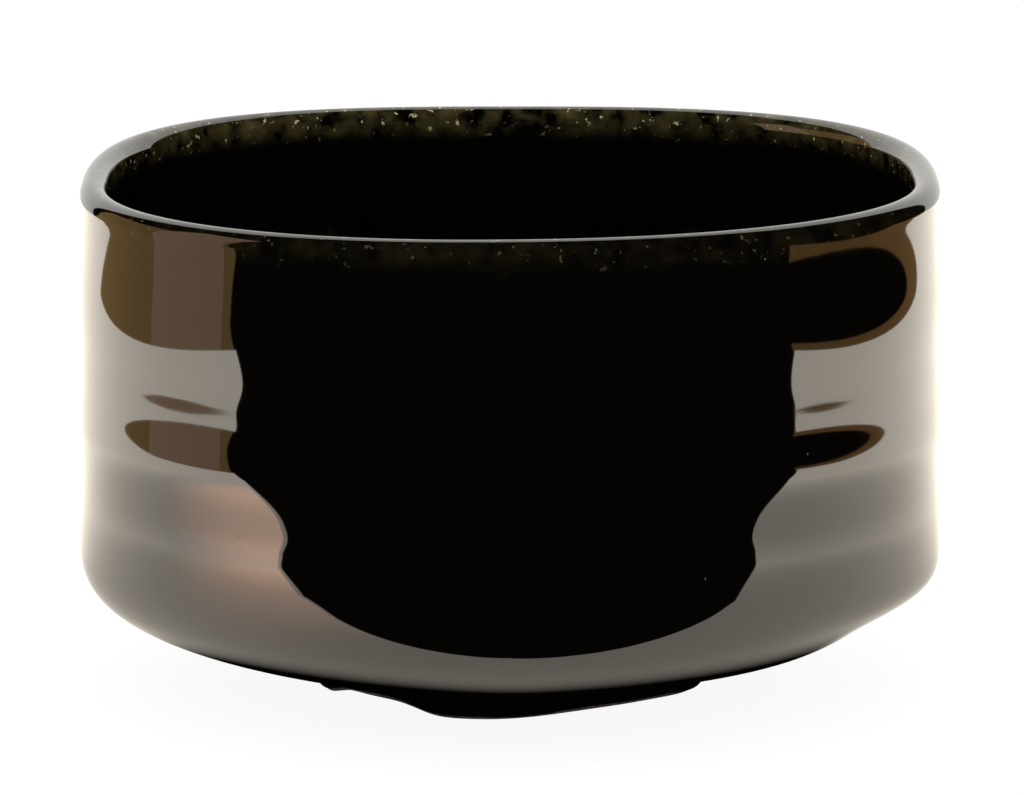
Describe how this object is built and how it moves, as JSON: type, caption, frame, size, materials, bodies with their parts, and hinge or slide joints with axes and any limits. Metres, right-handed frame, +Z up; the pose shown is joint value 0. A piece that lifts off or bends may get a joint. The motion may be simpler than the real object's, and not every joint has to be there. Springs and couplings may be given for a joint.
{
  "type": "matcha bowl",
  "caption": "Hand-shaped stoneware tea bowl with straight walls, a rounded-square plan, a low foot ring and a thick black glaze.",
  "frame": {"origin": "centre of the bowl in plan, on the surface that the foot ring stands on", "axes": "+Z up through the mouth; -Y is the front, the side turned to the guest; +X is to the right seen from the front, the side with the knife facet"},
  "size_m": [0.1208, 0.1208, 0.0729],
  "materials": {
    "stoneware": "fired iron-rich stoneware, matt and slightly gritty",
    "black_glaze": "high-gloss black iron glaze",
    "rim_glaze": "high-gloss black glaze, breaking to olive brown where it thins over the lip",
    "inner_glaze": "high-gloss black iron glaze"
  },
  "bodies": {
    "root": {"clay_body": "stoneware", "foot_ring": "stoneware", "outer_glaze": "black_glaze", "rim_glaze": "rim_glaze", "inner_glaze": "inner_glaze", "foot_glaze": "black_glaze", "foot_well_glaze": "black_glaze"}
  },
  "joints": []
}
